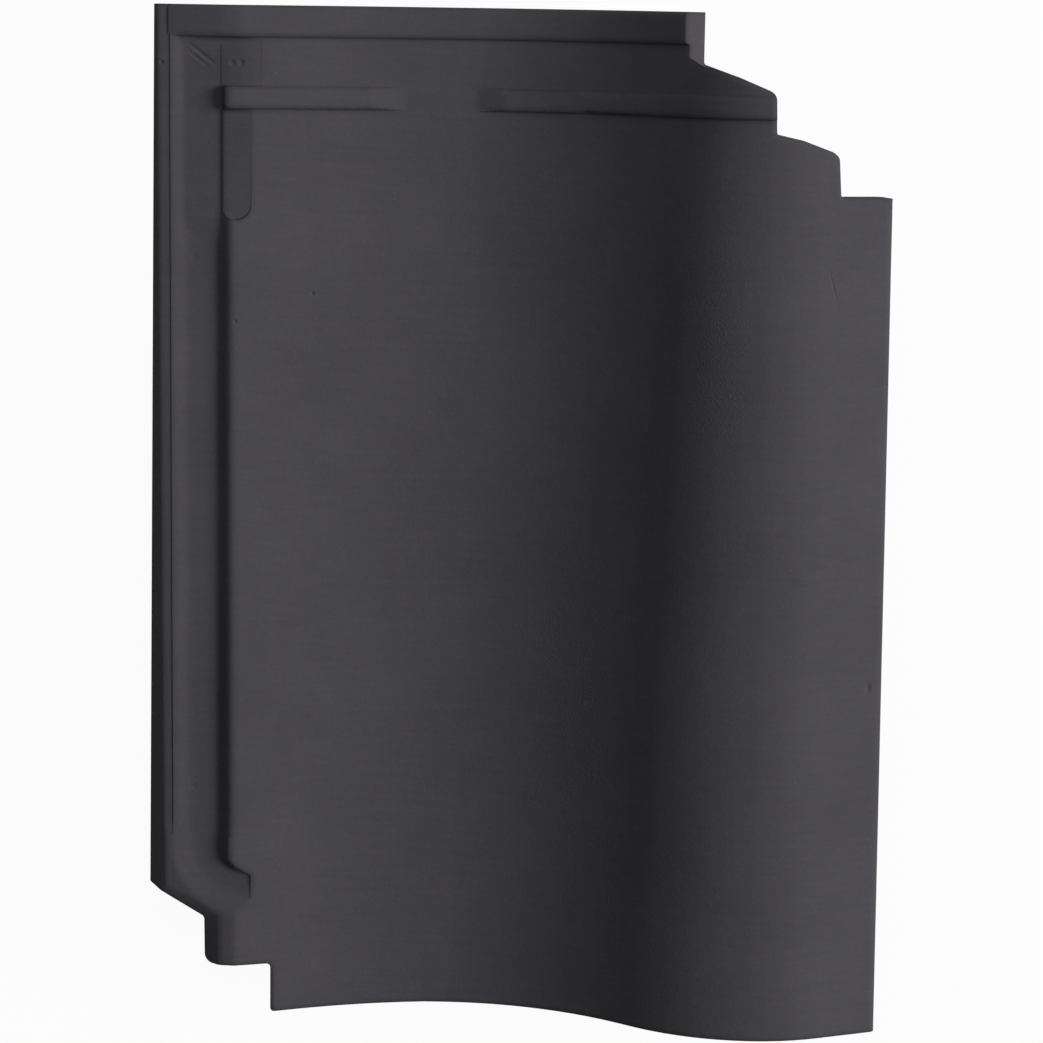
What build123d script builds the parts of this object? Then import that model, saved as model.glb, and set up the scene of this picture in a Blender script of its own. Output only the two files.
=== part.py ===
from build123d import *
import math
import os

# Interlocking clay pantile, one fired piece, in millimetres.
# X runs across the tile, +Y toward its head, +Z out of the weather face.
# While it is shaped, Z = 0 is the bottom of the pan on the weather face.

# Overall sizes
LENGTH = 363.0
THICKNESS = 11.5
HEAD_Y = LENGTH / 2
TAIL_Y = -LENGTH / 2
HALF_WIDTH = (129.2, 133.2)
ABOVE = 60.0
BELOW = -60.0

# Cross-section of the pan and roll, at the head end and at the tail end
SHOULDER_X = -101.6
PAN_BOTTOM_X = (-13.0, -23.0)
PAN_EDGE_ANGLE = (14.5, 17.5)
PAN_RADIUS = (250.0, 184.0)
HOLLOW_RADIUS = (113.0, 112.0)
FLANK_ANGLE = (34.5, 34.0)
FLANK_RUN = (13.0, 7.0)
ROLL_RADIUS = (43.0, 74.0)
COVER_RADIUS = (45.0, 62.0)
COVER_ANGLE = (22.0, 23.0)

# Side lock along the left edge
LOCK_UNDERSIDE_Z = 0.5
OUTER_RIM_Z = (11.8, 8.4)
OUTER_RIB_X = (-127.2, -125.6)
OUTER_RIB_Z = 13.3
RIM_LEAN = 0.8
RIB_RISER_X = -123.0
RIB_RISER_HEIGHT = 0.3
CHANNEL_SLOPE_FOOT = (-117.2, 11.8)
CHANNEL_FLOOR = (-112.0, 11.5)
CHANNEL_WALL_FOOT = (-106.4, 11.2)

# Rounding of the press die along the tile
SHOULDER_RADIUS = 3.5
EDGE_RADIUS = 2.5
RIB_CREST_RADIUS = 1.0
RIM_RADIUS = 2.0
WALL_FOOT_RADIUS = 1.6
SLOPE_FOOT_RADIUS = 6.0

# Head lock: flat corner with its round-ended pad, head rib and two bars
LAND_Z = 12.1
LAND_DEPTH = 5.0
LAND_END_Y = 106.0
LAND_RAMP = 9.0
LAND_X = (-120.0, -104.9)
PAD_Z = 12.85
PAD_X = (-104.9, -94.4)
PAD_Y = (107.0, 150.0)
HEAD_RIB_Y = (170.6, HEAD_Y)
HEAD_RIB_HEIGHT = 1.8
HEAD_RIB_FLAT = [(-123.2, 13.7), (-104.0, 15.6), (-99.5, 15.6)]
HEAD_RIB_FOOT_X = (-121.5, -96.0)
HEAD_RIB_FOOT = 3.4
HEAD_RIB_BEVEL = [(54.6, 26.4), (62.8, 21.4), (70.0, 17.0), (70.0, 50.0), (54.6, 50.0)]
HEAD_RIB_BEVEL_Y = (160.0, 190.0)
HEAD_RIB_BEVEL_PLAN = [
    (50.0, 190.0), (50.0, 169.0), (57.0, 166.6), (62.9, 163.0), (75.0, 163.0), (75.0, 190.0),
]
HEAD_RIB_BEVEL_ROUNDING = 2.0
HEAD_RIB_ROUNDING = 1.6
BAR_Y = (145.8, 153.6)
BAR_HEIGHT = 1.9
BAR_ROUNDING = 1.6
BAR_1_END = [(-105.2, 11.2), (-103.2, 16.2), (-101.2, 16.35)]
BAR_GAP = [(-54.0, 5.3), (-40.6, 1.3), (-29.0, 0.1), (-17.2, -0.2), (-5.0, 2.4)]
FLOOR_LEFT_X = -113.0
HEAD_FLOOR = [
    (FLOOR_LEFT_X, LAND_Z), (-107.0, 12.15), (-101.5, 12.5), (-97.5, 12.6), (-94.3, 12.4), (-90.9, 11.9),
]
BAND_JOIN_X = -96.5
BAND_FOOT = 6.0
BAND_DEPTH = 3.0

# Steps of the top right corner and of the bottom left corner, in plan
TOP_STEPS = [
    (62.8, 200.0), (62.8, 163.8), (75.2, 159.6), (87.4, 154.6), (87.9, 140.6),
    (97.6, 138.4), (109.8, 133.8), (110.8, 119.0), (170.0, 118.4), (170.0, 200.0),
]
TOP_STEP_ROUNDING = (0, 1.5, 8.0, 3.0, 1.5, 8.0, 3.0, 1.5, 0, 0)
TAIL_CORNER_Y = -183.0
TAIL_STEPS = [
    (-170.0, -112.6), (-132.4, -134.8), (-111.8, -147.1), (-111.8, -164.6), (-87.6, -164.6),
    (-87.6, TAIL_CORNER_Y), (-32.0, TAIL_Y), (170.0, TAIL_Y), (170.0, -200.0), (-170.0, -200.0),
]
TAIL_STEP_ROUNDING = (0, 3.0, 2.0, 3.0, 1.5, 1.5, 30.0, 0, 0, 0)

# Turn of the side channel onto the pan: (x, y, angle, floor z, floor end, crest, crest z) from wall
# to crest, then the rim beside it as (origin, direction, section)
TURN_FILL_Y = (-168.0, -116.0)
TURN_FILL = [(-131.0, 2.0), (-131.0, 8.8), (-125.8, 13.3)]
TURN_FLOOR_RISE = 0.5
TURN_WALL_LEAN = 0.94
TURN_OVERSHOOT = 4.0
TURN_TOP_Z = 17.0
TURN_STATIONS = [
    (-106.4, -112.0, 0.0, 11.2, 10.0, 16.0, 13.3),
    (-106.4, -121.0, 0.0, 11.2, 9.6, 16.0, 13.3),
    (-106.2, -123.2, 12.0, 11.3, 9.2, 15.8, 13.4),
    (-105.7, -125.2, 27.0, 11.5, 8.6, 15.3, 13.6),
    (-104.7, -127.0, 43.0, 11.8, 7.9, 14.6, 14.0),
    (-103.2, -128.3, 58.0, 12.1, 7.4, 14.2, 14.4),
    (-101.2, -129.3, 72.0, 12.4, 7.4, 14.0, 14.8),
    (-94.6, -131.2, 90.0, 13.0, 8.6, 14.2, 15.3),
]
RIM_CUT_Z = 30.0
RIM_STATIONS = [
    ((-140.0, -109.8), (-0.328, -0.945), [(0.0, 14.2), (10.4, 13.6), (18.3, 12.3)]),
    ((-102.0, -144.0), (-0.921, -0.388), [(0.0, 15.9), (4.9, 14.6), (11.1, 11.2)]),
    ((-102.0, -172.0), (-1.0, 0.0), [(0.0, 15.9), (4.5, 14.6), (10.2, 9.2)]),
]

# Underside: nibs, ribs under the tail and the rib of the cover lock
NIB_Y = (150.0, 166.0)
NIB_1_X = (-78.0, -46.0)
NIB_2_X = (28.0, 60.0)
NIB_TIP_Z = -27.0
NIB_TRIM = 2.0
NIB_ROOT_Z = ((-2.0, -6.0), (2.0, 17.0))
NIB_DRAFT = 2.0
NIB_BACK_DRAFT = 4.0
NIB_ROUNDING = 3.0
NIB_SEAT_Z = ((-3.4, -9.5), (-4.2, 12.8))
NIB_CHAMFER = 3.5
NIB_CORNER_RISE = 18.0
TAIL_RIB_Y = (-131.0, -155.0)
TAIL_RIB_X = (-76.0, 118.0)
TAIL_RIB_WIDTH = 6.0
TAIL_RIB_DEPTH = 4.0
COVER_RIB_X = (92.5, 94.5)
COVER_RIB_WIDTH = (9.0, 5.5)
COVER_RIB_TIP_Z = 13.5
COVER_RIB_ROOT_Z = 27.0
COVER_RIB_Y = (98.0, -176.0)
CONTACT_TRIM = 0.3


def blend(pair, y):
    """Value between the head's and the tail's at the given place along the tile."""
    share = (HEAD_Y - y) / LENGTH
    return pair[0] + (pair[1] - pair[0]) * share


def s_moves(y):
    """Pan and roll from left to right: straight runs and (radius, turn) arcs."""
    edge = math.radians(blend(PAN_EDGE_ANGLE, y))
    flank = math.radians(blend(FLANK_ANGLE, y))
    cover = math.radians(blend(COVER_ANGLE, y))
    pan_r = blend(PAN_RADIUS, y)
    hollow_r = blend(HOLLOW_RADIUS, y)
    roll_r = blend(ROLL_RADIUS, y)
    cover_r = blend(COVER_RADIUS, y)
    flank_run = blend(FLANK_RUN, y)
    edge_x = blend(PAN_BOTTOM_X, y) - pan_r * math.sin(edge)
    edge_run = (edge_x - SHOULDER_X) / math.cos(edge)
    crest_x = (
        blend(PAN_BOTTOM_X, y)
        + (hollow_r + roll_r) * math.sin(flank)
        + flank_run * math.cos(flank)
    )
    straight_x = crest_x + cover_r * math.sin(cover)
    right_x = blend(HALF_WIDTH, y)
    cover_run = (right_x - straight_x) / math.cos(cover)
    start_z = pan_r * (1 - math.cos(edge)) + edge_run * math.sin(edge)
    moves = [
        ("run", edge_run, 0.0),
        ("arc", pan_r, edge),
        ("arc", hollow_r, flank),
        ("run", flank_run, 0.0),
        ("arc", roll_r, -flank),
        ("arc", cover_r, -cover),
        ("run", cover_run, 0.0),
    ]
    return (SHOULDER_X, start_z), -edge, moves


def s_points(y, drop):
    """Corner and middle points of the pan and roll, moved down by drop along the normal."""
    (x, z), heading, moves = s_moves(y)
    x += drop * math.sin(heading)
    z -= drop * math.cos(heading)
    points = [(x, z)]
    middles = []
    for kind, size, turn in moves:
        if kind == "run":
            x += size * math.cos(heading)
            z += size * math.sin(heading)
            middles.append(None)
        else:
            radius = size + drop if turn > 0 else size - drop
            side = 1 if turn > 0 else -1
            cx = x - side * radius * math.sin(heading)
            cz = z + side * radius * math.cos(heading)
            half = heading + turn / 2
            middles.append((cx + side * radius * math.sin(half), cz - side * radius * math.cos(half)))
            heading += turn
            x = cx + side * radius * math.sin(heading)
            z = cz - side * radius * math.cos(heading)
        points.append((x, z))
    return points, middles


def s_edges(y, drop, backward=False):
    """Edges of the pan and roll at one place along the tile."""
    points, middles = s_points(y, drop)
    edges = []
    for i, middle in enumerate(middles):
        a = (points[i][0], y, points[i][1])
        b = (points[i + 1][0], y, points[i + 1][1])
        if middle is None:
            edges.append(Edge.make_line(a, b))
        else:
            edges.append(Edge.make_three_point_arc(a, (middle[0], y, middle[1]), b))
    if backward:
        edges = edges[::-1]
    return edges, points


def straight_edges(y, corners):
    """Straight profile edges through (x, z) corners at one place along the tile."""
    chain = [(x, y, z) for x, z in corners]
    return [Edge.make_line(a, b) for a, b in zip(chain, chain[1:])]


def body_section(y):
    """Whole section: side lock, pan, roll and the underside that follows them."""
    top, top_points = s_edges(y, 0.0)
    bottom, bottom_points = s_edges(y, THICKNESS, backward=True)
    outer_x = -blend(HALF_WIDTH, y)
    right = [top_points[-1], bottom_points[-1]]
    left = [
        bottom_points[0],
        (outer_x, LOCK_UNDERSIDE_Z),
        (outer_x + RIM_LEAN, blend(OUTER_RIM_Z, y)),
        (blend(OUTER_RIB_X, y), OUTER_RIB_Z),
        (RIB_RISER_X, OUTER_RIB_Z),
        (RIB_RISER_X + RIB_RISER_HEIGHT, OUTER_RIB_Z + RIB_RISER_HEIGHT),
        CHANNEL_SLOPE_FOOT,
        CHANNEL_FLOOR,
        CHANNEL_WALL_FOOT,
        top_points[0],
    ]
    return Face(Wire(top + straight_edges(y, right) + bottom + straight_edges(y, left)))


def surface_z(x, y, rise=0.0):
    """Height of the weather face, or of a band above it, on the pan's straight left run."""
    start, heading, moves = s_moves(y)
    return start[1] + (x - start[0]) * math.tan(heading) + rise / math.cos(heading)


def band_face(y, above, below, left):
    """Section of a band that follows the pan and roll, closed at the left by (x, z) corners."""
    top, top_points = s_edges(y, -above)
    bottom, bottom_points = s_edges(y, below, backward=True)
    join = (BAND_JOIN_X, surface_z(BAND_JOIN_X, y, above))
    foot = (BAND_JOIN_X, surface_z(BAND_JOIN_X, y, -below))
    first = straight_edges(y, [join, top_points[1]])
    right = straight_edges(y, [top_points[-1], bottom_points[-1]])
    last = straight_edges(y, [bottom_points[1], foot])
    closing = straight_edges(y, [foot] + left + [join])
    return Face(Wire(first + top[1:] + right + bottom[:-1] + last + closing))


def across_band(y_range, above, below, left, rounding=0.0):
    """Band across the tile between two places, with its top edges rounded."""
    face = band_face(sum(y_range) / 2, above, below, left)
    band = extrude(face, amount=(y_range[1] - y_range[0]) / 2, dir=(0, 1, 0), both=True)
    if rounding:
        crown = [side for side in band.faces() if side.normal_at().Z > 0.5]
        ends = [e for side in crown for e in side.edges() if abs((e @ 0).Y - (e @ 1).Y) < 0.01]
        band = fillet(ends, rounding)
    return band


def prism(points, y_low, y_high):
    """Straight bar along Y from a section given as (x, z) corners."""
    corners = [(x, y_low, z) for x, z in points]
    return extrude(Face(Wire.make_polygon(corners, close=True)), amount=y_high - y_low, dir=(0, 1, 0))


def plan_prism(points, z_low, z_high, rounding=0.0):
    """Upright block from a plan outline given as (x, y) corners, rounded by one radius or one a corner."""
    corners = [(x, y, z_low) for x, y in points]
    outline = Wire(FilletPolyline(*corners, radius=rounding, close=True).edges())
    return extrude(Face(outline), amount=z_high - z_low, dir=(0, 0, 1))


def side_prism(points, x_low, x_high):
    """Straight bar along X from a section given as (y, z) corners."""
    corners = [(x_low, y, z) for y, z in points]
    return extrude(Face(Wire.make_polygon(corners, close=True)), amount=x_high - x_low, dir=(1, 0, 0))


def block(x_range, y_range, z_range):
    """Box between three pairs of limits."""
    (left, right), (near, far) = x_range, y_range
    return plan_prism([(left, near), (right, near), (right, far), (left, far)], *z_range)


def upright(origin, direction, points):
    """Corners of an upright section from (distance, z) pairs along a plan direction."""
    return [(origin[0] + d * direction[0], origin[1] + d * direction[1], z) for d, z in points]


def skin_loft(sections):
    """Solid through straight-sided sections, each a list of (x, y, z) corners."""
    return loft([Face(Wire.make_polygon(corners, close=True)) for corners in sections], ruled=True)


def long_edges(body, x_head, z_head, reach=0.6):
    """Edges that run the length of the body and pass near (x, z) at the head end."""
    found = []
    for edge in body.edges():
        ends = sorted((edge @ 0, edge @ 1), key=lambda point: point.Y)
        near = abs(ends[1].X - x_head) < reach and abs(ends[1].Z - z_head) < reach
        if near and ends[1].Y > HEAD_Y - 0.1 and ends[0].Y < TAIL_Y + 0.1:
            found.append(edge)
    return found


def make_body():
    """Pan, roll and side lock from head to tail, with the rounding of the press die."""
    body = loft([body_section(HEAD_Y), body_section(TAIL_CORNER_Y - 1)], ruled=True)
    points, middles = s_points(HEAD_Y, 0.0)
    under, middles = s_points(HEAD_Y, THICKNESS)
    rounding = [
        (points[0], SHOULDER_RADIUS),
        (points[-1], EDGE_RADIUS),
        (under[-1], EDGE_RADIUS),
        ((OUTER_RIB_X[0], OUTER_RIB_Z), RIB_CREST_RADIUS),
        ((-HALF_WIDTH[0], LOCK_UNDERSIDE_Z), RIM_RADIUS),
        (CHANNEL_WALL_FOOT, WALL_FOOT_RADIUS),
        (CHANNEL_SLOPE_FOOT, SLOPE_FOOT_RADIUS),
    ]
    for (x, z), radius in rounding:
        body = fillet(long_edges(body, x, z), radius)
    return body


def make_head_corner(body):
    """Flat corner where the side lock meets the head lock, and its stamp pad."""
    pad_radius = (PAD_X[1] - PAD_X[0]) / 2
    pad = [(PAD_X[0], PAD_Y[0]), (PAD_X[1], PAD_Y[0]), (PAD_X[1], PAD_Y[1]), (PAD_X[0], PAD_Y[1])]
    body -= plan_prism(pad, PAD_Z, ABOVE, (pad_radius - 0.01, pad_radius - 0.01, 0.0, 0.0))
    body -= block((FLOOR_LEFT_X, LAND_X[1] + 0.01), (PAD_Y[0] + 1, HEAD_Y + 1), (LAND_Z, ABOVE))
    floor = HEAD_FLOOR + [(HEAD_FLOOR[-1][0], ABOVE), (HEAD_FLOOR[0][0], ABOVE)]
    body -= prism(floor, sum(BAR_Y) / 2, HEAD_Y + 1)
    body += block(LAND_X, (LAND_END_Y, HEAD_Y), (LAND_Z - LAND_DEPTH, LAND_Z))
    ramp_end = LAND_END_Y - LAND_RAMP
    ramp = [
        (LAND_END_Y, LAND_Z - LAND_DEPTH), (LAND_END_Y, LAND_Z),
        (ramp_end, CHANNEL_WALL_FOOT[1] - 0.1), (ramp_end, LAND_Z - LAND_DEPTH),
    ]
    return body + side_prism(ramp, *LAND_X)


def make_head_lock():
    """Head rib along the back edge and the two bars in front of the head channel."""
    rib_left = [(HEAD_RIB_FLAT[0][0], BAND_FOOT)] + HEAD_RIB_FLAT
    rib = across_band(HEAD_RIB_Y, HEAD_RIB_HEIGHT, BAND_DEPTH, rib_left, HEAD_RIB_ROUNDING)
    foot_y = HEAD_RIB_Y[0] - HEAD_RIB_FOOT
    back_y = HEAD_RIB_Y[0] + 1
    low, high = LAND_Z - 1, HEAD_RIB_FLAT[0][1] - HEAD_RIB_ROUNDING / 2
    foot = [(foot_y, low), (foot_y, LAND_Z), (back_y, high), (back_y, low)]
    rib += side_prism(foot, *HEAD_RIB_FOOT_X)
    bar_left = [(BAR_1_END[0][0], BAND_FOOT)] + BAR_1_END
    bars = across_band(BAR_Y, BAR_HEIGHT, BAND_DEPTH, bar_left, BAR_ROUNDING)
    gap = BAR_GAP + [(BAR_GAP[-1][0], ABOVE), (BAR_GAP[0][0], ABOVE)]
    bars -= prism(gap, BAR_Y[0] - 1, BAR_Y[1] + 1)
    return rib, bars


def turn_section(x, y, angle, floor_z, floor_end, crest, crest_z):
    """Section of the turning channel, from its wall foot at (x, y) outward to its crest."""
    outward = (-math.cos(math.radians(angle)), -math.sin(math.radians(angle)))
    rim_z = floor_z + TURN_FLOOR_RISE
    slope = (crest_z - rim_z) / (crest - floor_end)
    far = crest + TURN_OVERSHOOT
    far_z = crest_z + slope * TURN_OVERSHOOT
    return upright((x, y), outward, [
        (-TURN_WALL_LEAN * (TURN_TOP_Z - floor_z), TURN_TOP_Z), (0.0, floor_z), (floor_end, rim_z),
        (far, far_z), (far, TURN_TOP_Z),
    ])


def make_tail_corner(body):
    """Turn of the side channel onto the pan, and the ledge below it."""
    shoulder_z = surface_z(SHOULDER_X, TURN_FILL_Y[0])
    fill = TURN_FILL + [(SHOULDER_X + 1, shoulder_z - 0.4), (SHOULDER_X + 1, TURN_FILL[0][1])]
    body += prism(fill, *TURN_FILL_Y)
    sections = [turn_section(*station) for station in TURN_STATIONS]
    for pair in zip(sections, sections[1:]):
        body -= skin_loft(pair)
    rims = []
    for origin, direction, points in RIM_STATIONS:
        cut = [(points[-1][0], RIM_CUT_Z), (points[0][0], RIM_CUT_Z)]
        rims.append(upright(origin, direction, points + cut))
    for pair in zip(rims, rims[1:]):
        body -= skin_loft(pair)
    return body - plan_prism(TAIL_STEPS, BELOW, ABOVE, TAIL_STEP_ROUNDING)


def tail_rib_face(y):
    """Section of a rib under the tail, from inside the wall to its lower edge."""
    top, top_points = s_edges(y, THICKNESS - 3)
    bottom, bottom_points = s_edges(y, THICKNESS + TAIL_RIB_DEPTH, backward=True)
    right = straight_edges(y, [top_points[-1], bottom_points[-1]])
    left = straight_edges(y, [bottom_points[0], top_points[0]])
    return Face(Wire(top + right + bottom + left))


def make_nibs():
    """Two nibs that hook over the batten, with the rounded root on their bearing side."""
    nibs = []
    for (left, right), (left_z, right_z) in zip((NIB_1_X, NIB_2_X), NIB_ROOT_Z):
        tip_z = NIB_TIP_Z - NIB_TRIM
        front = [(left + NIB_DRAFT, tip_z), (right - NIB_DRAFT, tip_z), (right, right_z), (left, left_z)]
        nib = prism(front, NIB_Y[0], NIB_Y[1] + 10)
        top_z = max(left_z, right_z) + 1
        back_y = NIB_Y[1] + NIB_BACK_DRAFT
        back = [(NIB_Y[1], tip_z - 1), (back_y, top_z), (back_y + 9, top_z), (back_y + 9, tip_z - 1)]
        nib -= side_prism(back, left - 1, right + 1)
        corners = [edge for edge in nib.edges() if abs((edge @ 0).Z - (edge @ 1).Z) > NIB_CORNER_RISE]
        nibs.append(fillet(corners, NIB_ROUNDING))
    for nib_x, seat_z in zip((NIB_1_X, NIB_2_X), NIB_SEAT_Z):
        ends = []
        for x, z in zip(nib_x, seat_z):
            root = [(0, -NIB_CHAMFER), (1, -NIB_CHAMFER), (1, 1), (-NIB_CHAMFER - 1, 1)]
            ends.append([(x, NIB_Y[0] + out, z + up) for out, up in root])
        nibs.append(skin_loft(ends))
    return nibs


def make_underside_ribs():
    """Ribs under the tail, and the rib of the cover lock inside the roll."""
    ribs = []
    for rib_y in TAIL_RIB_Y:
        y_range = (rib_y - TAIL_RIB_WIDTH / 2, rib_y + TAIL_RIB_WIDTH / 2)
        rib = extrude(tail_rib_face(rib_y), amount=TAIL_RIB_WIDTH / 2, dir=(0, 1, 0), both=True)
        ribs.append(rib & block(TAIL_RIB_X, y_range, (BELOW, ABOVE)))
    sections = []
    base, tip = COVER_RIB_WIDTH
    for x, y in zip(COVER_RIB_X, COVER_RIB_Y):
        sections.append([
            (x - tip / 2, y, COVER_RIB_TIP_Z), (x + tip / 2, y, COVER_RIB_TIP_Z),
            (x + base / 2, y, COVER_RIB_ROOT_Z), (x - base / 2, y, COVER_RIB_ROOT_Z),
        ])
    ribs.append(skin_loft(sections))
    return ribs


def lay_down(body):
    """Turn the tile as it lies by itself: on the nib tips and the outer tail rib."""
    rib_y = TAIL_RIB_Y[1] - TAIL_RIB_WIDTH / 2
    rib_z = -THICKNESS - TAIL_RIB_DEPTH + CONTACT_TRIM
    pitch = math.degrees(math.atan2(rib_z - NIB_TIP_Z, NIB_Y[0] - rib_y))
    body = Pos(0, -NIB_Y[0], -NIB_TIP_Z) * body
    body = Rot(pitch, 0, 0) * body
    body -= block((-200.0, 200.0), (-400.0, 200.0), (-20.0, 0.0))
    middle = body.bounding_box().center()
    return Pos(-middle.X, -middle.Y, 0) * body


# The tile: body, head corner, head lock, corner cuts, then the underside
body = make_body()
body = make_head_corner(body)
rib, bars = make_head_lock()
body = body + rib + bars
bevel_plan = plan_prism(HEAD_RIB_BEVEL_PLAN, BELOW, ABOVE, HEAD_RIB_BEVEL_ROUNDING)
body -= prism(HEAD_RIB_BEVEL, *HEAD_RIB_BEVEL_Y) & bevel_plan
body -= plan_prism(TOP_STEPS, BELOW, ABOVE, TOP_STEP_ROUNDING)
body = make_tail_corner(body)
for piece in make_nibs() + make_underside_ribs():
    body += piece
body = lay_down(body)
os.makedirs("parts", exist_ok=True)
export_step(body, "parts/roof_tile.step")
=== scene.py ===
import math

import bpy
from mathutils import Euler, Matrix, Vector


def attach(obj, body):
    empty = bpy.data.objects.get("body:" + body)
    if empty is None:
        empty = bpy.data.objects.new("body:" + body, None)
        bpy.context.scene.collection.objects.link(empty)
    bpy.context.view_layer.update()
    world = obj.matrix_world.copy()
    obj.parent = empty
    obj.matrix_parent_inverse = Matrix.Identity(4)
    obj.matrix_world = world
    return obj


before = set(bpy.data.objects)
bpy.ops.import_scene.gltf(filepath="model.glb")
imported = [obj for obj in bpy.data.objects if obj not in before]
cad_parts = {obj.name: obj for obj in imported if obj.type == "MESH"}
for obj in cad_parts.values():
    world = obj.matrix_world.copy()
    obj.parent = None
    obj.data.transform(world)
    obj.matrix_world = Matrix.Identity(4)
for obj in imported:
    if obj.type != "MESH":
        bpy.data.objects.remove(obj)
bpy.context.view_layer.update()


class Skin:
    """One output of a node, so that a pattern is written as a sum of others."""

    def __init__(self, tree, socket):
        self.tree = tree
        self.socket = socket

    def node(self, kind, settings=None, output=0, **values):
        """Adds a node, sets it up, fills its sockets (iN is the Nth one) and gives one output."""
        made = self.tree.nodes.new(kind)
        for name, value in (settings or {}).items():
            if name == "stops":
                for element, (place, colour) in zip(made.color_ramp.elements, value):
                    element.position = place
                    element.color = (*colour, 1.0)
            else:
                setattr(made, name, value)
        for name, value in values.items():
            by_number = name[1:].isdigit()
            slot = made.inputs[int(name[1:]) if by_number else name.replace("_", " ")]
            if isinstance(value, Skin):
                self.tree.links.new(value.socket, slot)
            else:
                slot.default_value = value
        return Skin(self.tree, made.outputs[output])

    def sum(self, operation, *terms):
        """One Math node over numbers or outputs."""
        values = {"i%d" % place: term for place, term in enumerate(terms)}
        return self.node("ShaderNodeMath", {"operation": operation}, **values)

    def __add__(self, other):
        return self.sum("ADD", self, other)

    def __radd__(self, other):
        return self.sum("ADD", other, self)

    def __sub__(self, other):
        return self.sum("SUBTRACT", self, other)

    def __rsub__(self, other):
        return self.sum("SUBTRACT", other, self)

    def __mul__(self, other):
        return self.sum("MULTIPLY", self, other)

    def __rmul__(self, other):
        return self.sum("MULTIPLY", other, self)

    def band(self, low, high):
        """0 at low, 1 at high, smooth between the two."""
        settings = {"interpolation_type": "SMOOTHSTEP"}
        return self.node("ShaderNodeMapRange", settings, Value=self, From_Min=low, From_Max=high)


# The tile is one piece of red clay, pressed between dies, coated with matt slate black engobe and fired.
# Its skin has soft clouds, fine streaks across the pan and leathery patches on the flank of the roll.
SHARP_ANGLE = 28.0
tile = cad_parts["roof_tile"]
tile.data.shade_smooth()
tile.data.set_sharp_from_angle(angle=math.radians(SHARP_ANGLE))
engobe = bpy.data.materials.new("engobed_clay")
engobe.use_nodes = True
tree = engobe.node_tree
surface = tree.nodes["Principled BSDF"]
place = Skin(tree, tree.nodes.new("ShaderNodeTexCoord").outputs["Object"])
ANY_HEIGHT = 100.0


def stretched(x, y, z, turn=0.0):
    """Place on the tile scaled along its axes, in waves per metre, after a turn about Z in degrees."""
    angle = (0.0, 0.0, math.radians(turn))
    turned = place.node("ShaderNodeMapping", None, Vector=place, Rotation=angle)
    return place.node("ShaderNodeMapping", None, Vector=turned, Scale=(x, y, z))


def grain(scale, detail):
    """Soft cloudy noise, scale in waves per metre or as a stretched place."""
    where, size = (scale, 1.0) if isinstance(scale, Skin) else (place, scale)
    return place.node("ShaderNodeTexNoise", None, Vector=where, Scale=size, Detail=detail, Roughness=0.55)


def mark(x, y, half_length, half_width, turn=0.0):
    """1 at a place in the plan, fading to 0 at the rim of an oval; turn is degrees from the X axis."""
    centre = (x, y, 0.0)
    angle = (0.0, 0.0, math.radians(turn))
    size = (half_length, half_width, ANY_HEIGHT)
    settings = {"vector_type": "TEXTURE"}
    oval = place.node("ShaderNodeMapping", settings, Vector=place, Location=centre, Rotation=angle, Scale=size)
    return place.node("ShaderNodeTexGradient", {"gradient_type": "SPHERICAL"}, "Fac", Vector=oval)


def over(under, mask, top):
    """Lays one colour over another where the mask is 1."""
    return place.node("ShaderNodeMix", {"data_type": "RGBA"}, 2, i0=mask, i6=under, i7=(*top, 1.0))


# Edges: softly rounded by the press die through the shading normal, with a painted highlight along them.
EDGE_ROUNDING = 0.0032
rounded = place.node("ShaderNodeBevel", {"samples": 4}, Radius=EDGE_ROUNDING)
flat = place.node("ShaderNodeNewGeometry", None, "Normal")
facing = place.node("ShaderNodeVectorMath", {"operation": "DOT_PRODUCT"}, "Value", i0=rounded, i1=flat)
edge_highlight = (1.0 - facing).band(0.02, 0.20)

# Colour: slate black in darker and lighter clouds, with pale specks of grit and a painted highlight on the
# edges.
# The engobe lies thinly on the underside, so the red clay shows through it.
DARK_SLATE = (0.0535, 0.0510, 0.0585)
LIGHT_SLATE = (0.0665, 0.0635, 0.0720)
HIGHLIGHT_SLATE = (0.088, 0.084, 0.092)
GRIT = (0.17, 0.165, 0.17)
RED_CLAY = (0.135, 0.075, 0.056)
clouds = grain(26.0, 2.0)
mottle = grain(240.0, 1.0)
fine = grain(900.0, 1.0)
streaks = grain(stretched(30.0, 620.0, 300.0, 1.5), 0.0)
specks = grain(2300.0, 1.0).band(0.70, 0.76)
tone = clouds * 0.45 + fine * 0.25 + streaks * 0.16 + 0.07
slate = {"stops": [(0.30, DARK_SLATE), (0.66, LIGHT_SLATE)]}
colour = place.node("ShaderNodeValToRGB", slate, "Color", i0=tone)
normal_z = place.node("ShaderNodeSeparateXYZ", None, 2, Vector=flat)
below = normal_z.band(-0.15, -0.75) * clouds.band(0.22, 0.85)
# Painted highlight: the edges are coloured paler where light would catch their rounding.
colour = over(colour, edge_highlight * 0.30, HIGHLIGHT_SLATE)
colour = over(colour, specks * 0.30, GRIT)
colour = over(colour, below * 0.60, RED_CLAY)
tree.links.new(colour.socket, surface.inputs["Base Color"])

# Sheen: dull all over, slightly smoother where the engobe is thick.
sheen = 0.72 + fine * 0.16 - clouds * 0.10
tree.links.new(sheen.socket, surface.inputs["Roughness"])
surface.inputs["Specular IOR Level"].default_value = 0.08

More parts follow.
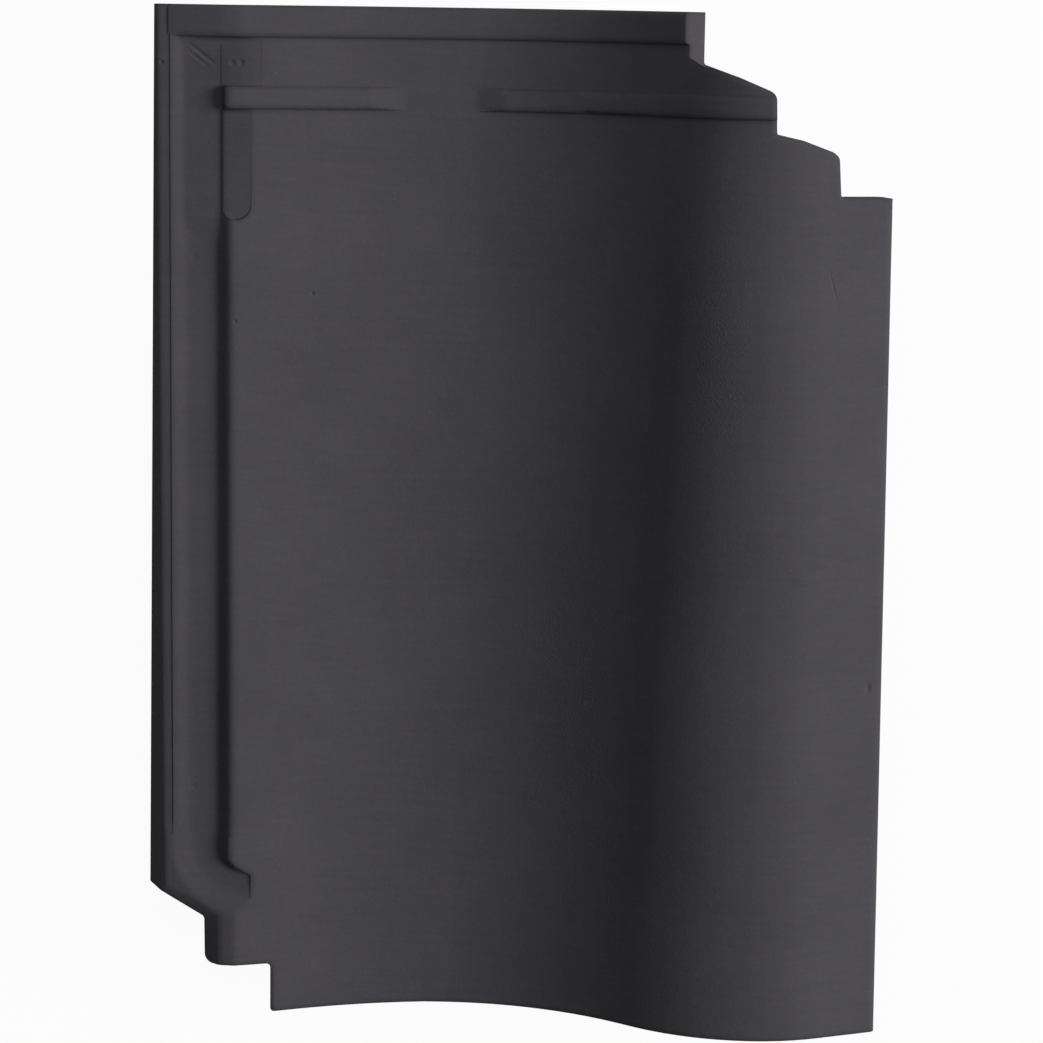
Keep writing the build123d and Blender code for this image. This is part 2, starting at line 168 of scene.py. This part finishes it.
# Relief, as heights in metres: grain and streaks, leathery patches, fine hatching in the head corner,
# and the single marks of pressing and handling (x, y, half length, half width, turn, height).
leather = mark(0.030, -0.090, 0.120, 0.034, 100.0) + mark(0.068, 0.066, 0.060, 0.020, 100.0)
cells = place.sum("ABSOLUTE", fine - 0.5)
lines = {"bands_direction": "X"}
hatch = place.node("ShaderNodeTexWave", lines, "Fac", Vector=stretched(150.0, 10.0, 10.0, 42.0))
relief = fine * 0.00005 + mottle * 0.00010 + clouds * 0.00040
relief = relief + leather * cells * 0.00045 + mark(-0.109, 0.162, 0.018, 0.010) * hatch * 0.00012
MARKS = [
    ("pin mark", -0.1010, 0.1618, 0.0014, 0.0014, 0.0, -0.00045),
    ("pin mark", -0.0979, 0.1619, 0.0014, 0.0014, 0.0, -0.00045),
    ("round mark", -0.1145, 0.0935, 0.0018, 0.0018, 0.0, -0.00016),
    ("round mark", -0.1157, -0.0980, 0.0018, 0.0018, 0.0, -0.00016),
    ("pit", -0.0733, 0.0815, 0.0010, 0.0010, 0.0, -0.00045),
    ("pit", -0.0999, 0.0715, 0.0010, 0.0010, 0.0, -0.00045),
    ("pit", -0.1257, 0.1616, 0.0010, 0.0010, 0.0, -0.00045),
    ("nick", 0.1260, -0.0540, 0.0028, 0.0014, 90.0, -0.00060),
    ("crease", -0.1114, 0.1645, 0.0070, 0.0010, -38.0, -0.00040),
    ("crease", -0.1130, 0.1630, 0.0050, 0.0009, -38.0, -0.00030),
    ("scratch", 0.1092, 0.0876, 0.0075, 0.0005, -74.0, -0.00022),
]
for name, x, y, half_length, half_width, turn, height in MARKS:
    depth = mark(x, y, half_length, half_width, turn)
    relief = place.sum("MULTIPLY_ADD", depth, height, relief)
bump = place.node("ShaderNodeBump", None, Strength=1.0, Distance=1.0, Height=relief, Normal=rounded)
tree.links.new(bump.socket, surface.inputs["Normal"])
tile.data.materials.clear()
tile.data.materials.append(engobe)
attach(tile, "root")

# A plain pale floor, almost white to the camera, which keeps a faint shadow of the tile.
FLOOR_SIZE = 12.0
FLOOR_GLOW = 0.95
bpy.ops.mesh.primitive_plane_add(size=FLOOR_SIZE)
floor = bpy.context.object
floor.name = "floor"
paper = bpy.data.materials.new("pale_floor")
paper.use_nodes = True
matt = paper.node_tree.nodes["Principled BSDF"]
matt.inputs["Base Color"].default_value = (0.75, 0.75, 0.75, 1.0)
matt.inputs["Roughness"].default_value = 0.9
matt.inputs["Specular IOR Level"].default_value = 0.1
shade = Skin(paper.node_tree, matt.outputs[0])
seen = shade.node("ShaderNodeLightPath", None, "Is Camera Ray")
glow = shade.node("ShaderNodeEmission", None, Strength=1.0)
mixed = shade.node("ShaderNodeMixShader", None, i0=seen * FLOOR_GLOW, i1=shade, i2=glow)
paper.node_tree.links.new(mixed.socket, paper.node_tree.nodes["Material Output"].inputs["Surface"])
floor.data.materials.append(paper)

# Soft studio light: a wide lamp low on the right, a weak one high beyond the head, and a dim room.
LAMPS = [
    ("key", (0.861, 0.09, 0.50), 8.0, 4.8, 765.0),
    ("fill", (0.0, 0.60, 0.85), 1.05, 0.5, 1.6),
]
for name, direction, distance, size, power in LAMPS:
    light = bpy.data.lights.new(name, "AREA")
    light.shape = "DISK"
    light.size = size
    light.energy = power
    lamp = bpy.data.objects.new(name, light)
    bpy.context.scene.collection.objects.link(lamp)
    toward = Vector(direction).normalized()
    lamp.location = toward * distance
    lamp.rotation_euler = toward.to_track_quat("Z", "Y").to_euler()

ROOM_LEVEL = 0.14
world = bpy.data.worlds.new("room")
bpy.context.scene.world = world
world.use_nodes = True
back = world.node_tree.nodes["Background"]
back.inputs["Color"].default_value = (1.0, 1.0, 1.0, 1.0)
seen = Skin(world.node_tree, back.outputs[0]).node("ShaderNodeLightPath", None, "Is Camera Ray")
world.node_tree.links.new((seen * (1.0 - ROOM_LEVEL) + ROOM_LEVEL).socket, back.inputs["Strength"])

# The camera looks down on the tile from just above its head end.
camera = bpy.data.cameras.new("camera")
camera.lens = 108.96
camera.sensor_width = 36.0
camera.clip_end = 50.0
eye = bpy.data.objects.new("camera", camera)
bpy.context.scene.collection.objects.link(eye)
eye.location = (0.03485, 0.15174, 1.14683)
eye.rotation_euler = Euler((math.radians(-7.64), math.radians(1.81), math.radians(0.912)))
bpy.context.scene.camera = eye
bpy.context.scene.view_settings.view_transform = "Standard"
